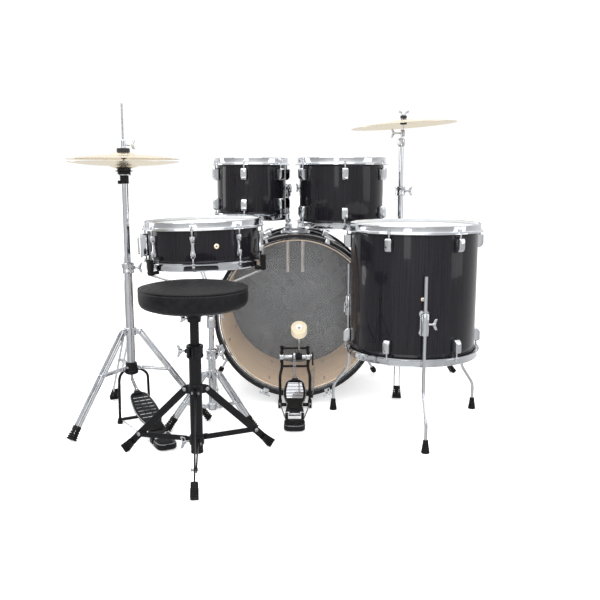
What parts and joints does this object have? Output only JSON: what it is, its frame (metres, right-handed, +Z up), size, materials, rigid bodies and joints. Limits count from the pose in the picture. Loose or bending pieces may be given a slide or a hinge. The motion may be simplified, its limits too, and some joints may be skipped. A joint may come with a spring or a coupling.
{
  "type": "acoustic drum kit",
  "caption": "Acoustic drum kit with black shells and chrome hardware: bass drum with pedal, toms, snare on a stand, hi-hat, crash cymbal and a padded throne.",
  "frame": {"origin": "on the floor under the middle of the whole kit's bounding box", "axes": "+Z up, +Y the way the seated player faces (from the throne to the bass drum's front head), +X to the player's right"},
  "size_m": [1.407, 1.3772, 1.073],
  "materials": {
    "shell_black": "plywood drum shell in a high-gloss black wrap, chrome lugs and brackets",
    "hoop_black": "gloss black lacquered hoop with metal claws",
    "chrome": "polished chrome plate",
    "head_white": "coated translucent white film",
    "head_clear": "clear film",
    "head_grey": "black film",
    "bronze": "lathed cymbal bronze",
    "steel_black": "black powder coat",
    "vinyl": "black grained vinyl over foam",
    "felt": "pale felt beater on a chrome rod"
  },
  "bodies": {
    "root": {"bass_drum_shell": "shell_black", "bass_drum_batter_head": "head_clear", "bass_drum_front_head": "head_grey", "bass_drum_batter_hoop": "hoop_black", "bass_drum_front_hoop": "hoop_black", "tom_mount": "chrome", "floor_tom_shell": "shell_black", "floor_tom_batter_head": "head_white", "floor_tom_bottom_head": "head_white", "floor_tom_top_hoop": "chrome", "floor_tom_bottom_hoop": "chrome", "snare_stand_base": "chrome", "hihat_stand_base": "chrome", "cymbal_stand_base": "chrome", "bass_pedal_frame": "steel_black"},
    "spur_left": {"bass_drum_spur_left": "chrome"},
    "spur_right": {"bass_drum_spur_right": "chrome"},
    "small_tom_arm": {"small_tom_arm": "chrome"},
    "medium_tom_arm": {"medium_tom_arm": "chrome"},
    "floor_leg_1": {"floor_tom_leg_1": "chrome"},
    "floor_leg_2": {"floor_tom_leg_2": "chrome"},
    "floor_leg_3": {"floor_tom_leg_3": "chrome"},
    "snare_tube": {"snare_stand_tube": "chrome"},
    "snare": {"snare_basket": "chrome", "snare_shell": "shell_black", "snare_batter_head": "head_white", "snare_bottom_head": "head_white", "snare_top_hoop": "chrome", "snare_bottom_hoop": "chrome"},
    "snare_lever": {"snare_throw_off_lever": "chrome"},
    "hihat_tube": {"hihat_upper_tube": "chrome", "hihat_bottom_cymbal": "bronze"},
    "hihat_clutch": {"hihat_top_cymbal": "bronze"},
    "hihat_rod": {"hihat_pull_rod": "chrome"},
    "hihat_footboard": {"hihat_footboard": "steel_black"},
    "cymbal_tube": {"cymbal_stand_tube": "chrome"},
    "cymbal_tilter": {"cymbal_tilter": "chrome"},
    "crash": {"crash_cymbal": "bronze"},
    "throne_base": {"throne_base_tube": "steel_black"},
    "throne_collar": {"throne_lower_collar": "steel_black"},
    "throne_post": {"throne_post": "steel_black"},
    "throne_seat": {"throne_cushion": "vinyl"},
    "pedal_footboard": {"bass_pedal_footboard": "steel_black"},
    "pedal_beater": {"bass_pedal_beater": "felt"},
    "small_tom": {"small_tom_shell": "shell_black", "small_tom_batter_head": "head_white", "small_tom_bottom_head": "head_white", "small_tom_top_hoop": "chrome", "small_tom_bottom_hoop": "chrome"},
    "medium_tom": {"medium_tom_shell": "shell_black", "medium_tom_batter_head": "head_white", "medium_tom_bottom_head": "head_white", "medium_tom_top_hoop": "chrome", "medium_tom_bottom_hoop": "chrome"},
    "throne_leg_1": {"throne_leg_1": "steel_black"},
    "throne_brace_1": {"throne_brace_1": "steel_black"},
    "throne_leg_2": {"throne_leg_2": "steel_black"},
    "throne_brace_2": {"throne_brace_2": "steel_black"},
    "throne_leg_3": {"throne_leg_3": "steel_black"},
    "throne_brace_3": {"throne_brace_3": "steel_black"}
  },
  "joints": [
    {"name": "bass_spur_left_fold", "type": "hinge", "parent": "root", "child": "spur_left", "pos_m": [-0.21262, 0.513, 0.14942], "axis": [0, 1, 0], "range_deg": [0, 70]},
    {"name": "bass_spur_right_fold", "type": "hinge", "parent": "root", "child": "spur_right", "pos_m": [0.27462, 0.513, 0.14942], "axis": [0, -1, 0], "range_deg": [0, 45]},
    {"name": "small_tom_swivel", "type": "hinge", "parent": "root", "child": "small_tom_arm", "pos_m": [-0.0045, 0.445, 0.775], "axis": [0, 0, 1], "range_deg": [-25, 4]},
    {"name": "small_tom_tilt", "type": "hinge", "parent": "small_tom_arm", "child": "small_tom", "pos_m": [-0.0045, 0.445, 0.775], "axis": [0.6062, -0.7953, 0], "range_deg": [-12, 4]},
    {"name": "medium_tom_swivel", "type": "hinge", "parent": "root", "child": "medium_tom_arm", "pos_m": [0.0535, 0.445, 0.775], "axis": [0, 0, 1], "range_deg": [-4, 20]},
    {"name": "medium_tom_tilt", "type": "hinge", "parent": "medium_tom_arm", "child": "medium_tom", "pos_m": [0.0535, 0.445, 0.775], "axis": [0.7158, 0.6984, 0], "range_deg": [-12, 3]},
    {"name": "floor_tom_leg_1_height", "type": "slide", "parent": "root", "child": "floor_leg_1", "axis": [0, 0, 1], "range_m": [0, 0.11]},
    {"name": "floor_tom_leg_2_height", "type": "slide", "parent": "root", "child": "floor_leg_2", "axis": [0, 0, 1], "range_m": [0, 0.11]},
    {"name": "floor_tom_leg_3_height", "type": "slide", "parent": "root", "child": "floor_leg_3", "axis": [0, 0, 1], "range_m": [0, 0.11]},
    {"name": "snare_height", "type": "slide", "parent": "root", "child": "snare_tube", "axis": [0, 0, 1], "range_m": [-0.05, 0.05]},
    {"name": "snare_tilt", "type": "hinge", "parent": "snare_tube", "child": "snare", "pos_m": [-0.25, -0.056, 0.37231], "axis": [1, 0, 0], "range_deg": [-5, 5]},
    {"name": "snare_throw_off", "type": "hinge", "parent": "snare", "child": "snare_lever", "pos_m": [-0.46895, -0.10367, 0.57715], "axis": [0.2164, -0.9763, 0.0057], "range_deg": [0, 90]},
    {"name": "hihat_height", "type": "slide", "parent": "root", "child": "hihat_tube", "axis": [0, 0, 1], "range_m": [-0.06, 0.08]},
    {"name": "hihat_close", "type": "slide", "parent": "hihat_tube", "child": "hihat_clutch", "axis": [0, 0, 1], "range_m": [-0.0075, 0], "stiffness_N_per_m": 1500, "springref_m": 0.03},
    {"name": "hihat_rod_pull", "type": "slide", "parent": "root", "child": "hihat_rod", "axis": [0, 0, 1], "range_m": [-0.0076, 0.0001]},
    {"name": "hihat_pedal_press", "type": "hinge", "parent": "root", "child": "hihat_footboard", "pos_m": [-0.3915, -0.2541, 0.025], "axis": [0.866, 0.5, 0], "range_deg": [-2, 0.1]},
    {"name": "cymbal_height", "type": "slide", "parent": "root", "child": "cymbal_tube", "axis": [0, 0, 1], "range_m": [-0.04, 0.1]},
    {"name": "cymbal_tilt", "type": "hinge", "parent": "cymbal_tube", "child": "cymbal_tilter", "pos_m": [0.436, 0.4856, 0.983], "axis": [1, 0, 0], "range_deg": [-20, 20]},
    {"name": "cymbal_rock", "type": "hinge", "parent": "cymbal_tilter", "child": "crash", "pos_m": [0.4428, 0.4856, 1.029], "axis": [0, 1, 0], "range_deg": [-6, 6], "stiffness_Nm_per_rad": 6},
    {"name": "throne_fold", "type": "slide", "parent": "root", "child": "throne_base", "axis": [0, 0, 1], "range_m": [0, 0.08511]},
    {"name": "throne_leg_1_fold", "type": "hinge", "parent": "throne_base", "child": "throne_leg_1", "pos_m": [-0.24855, -0.45782, 0.221], "axis": [0.9945, 0.1045, 0], "range_deg": [-0.1, 46.47]},
    {"name": "throne_leg_2_fold", "type": "hinge", "parent": "throne_base", "child": "throne_leg_2", "pos_m": [-0.2253, -0.4056, 0.221], "axis": [-0.5878, 0.809, 0], "range_deg": [-0.1, 46.47]},
    {"name": "throne_leg_3_fold", "type": "hinge", "parent": "throne_base", "child": "throne_leg_3", "pos_m": [-0.28215, -0.41158, 0.221], "axis": [-0.4067, -0.9135, 0], "range_deg": [-0.1, 46.47]},
    {"name": "throne_collar_slide", "type": "slide", "parent": "throne_base", "child": "throne_collar", "axis": [0, 0, 1], "range_m": [-0.0001, 0.08049]},
    {"name": "throne_brace_1_fold", "type": "hinge", "parent": "throne_collar", "child": "throne_brace_1", "pos_m": [-0.24386, -0.46034, 0.075], "axis": [0.9945, 0.1045, 0], "range_deg": [-0.1, 87.16]},
    {"name": "throne_brace_2_fold", "type": "hinge", "parent": "throne_collar", "child": "throne_brace_2", "pos_m": [-0.22546, -0.40028, 0.075], "axis": [-0.5878, 0.809, 0], "range_deg": [-0.1, 87.16]},
    {"name": "throne_brace_3_fold", "type": "hinge", "parent": "throne_collar", "child": "throne_brace_3", "pos_m": [-0.28668, -0.41438, 0.075], "axis": [-0.4067, -0.9135, 0], "range_deg": [-0.1, 87.16]},
    {"name": "throne_height", "type": "slide", "parent": "throne_base", "child": "throne_post", "axis": [0, 0, 1], "range_m": [-0.06, 0.05]},
    {"name": "throne_seat_swivel", "type": "hinge", "parent": "throne_post", "child": "throne_seat", "pos_m": [-0.252, -0.425, 0.454], "axis": [0, 0, 1], "continuous": true},
    {"name": "bass_pedal_press", "type": "hinge", "parent": "root", "child": "pedal_footboard", "pos_m": [0.025, -0.069, 0.032], "axis": [1, 0, 0], "range_deg": [-13, 0], "stiffness_Nm_per_rad": 8, "springref_deg": 14.32},
    {"name": "bass_pedal_beater_swing", "type": "hinge", "parent": "root", "child": "pedal_beater", "pos_m": [0.025, 0.116, 0.185], "axis": [1, 0, 0], "range_deg": [-54.7, 0.1]}
  ],
  "couplings": [
    {"joint": "throne_leg_1_fold", "follows": "throne_fold", "rad_per_m": 9.5082},
    {"joint": "throne_leg_2_fold", "follows": "throne_fold", "rad_per_m": 9.5082},
    {"joint": "throne_leg_3_fold", "follows": "throne_fold", "rad_per_m": 9.5082},
    {"joint": "throne_collar_slide", "follows": "throne_fold", "ratio": 0.94454},
    {"joint": "throne_brace_1_fold", "follows": "throne_fold", "rad_per_m": 17.853},
    {"joint": "throne_brace_2_fold", "follows": "throne_fold", "rad_per_m": 17.853},
    {"joint": "throne_brace_3_fold", "follows": "throne_fold", "rad_per_m": 17.853},
    {"joint": "hihat_rod_pull", "follows": "hihat_close", "ratio": 1},
    {"joint": "hihat_pedal_press", "follows": "hihat_close", "rad_per_m": 4.4248},
    {"joint": "bass_pedal_beater_swing", "follows": "bass_pedal_press", "ratio": 4.2}
  ]
}
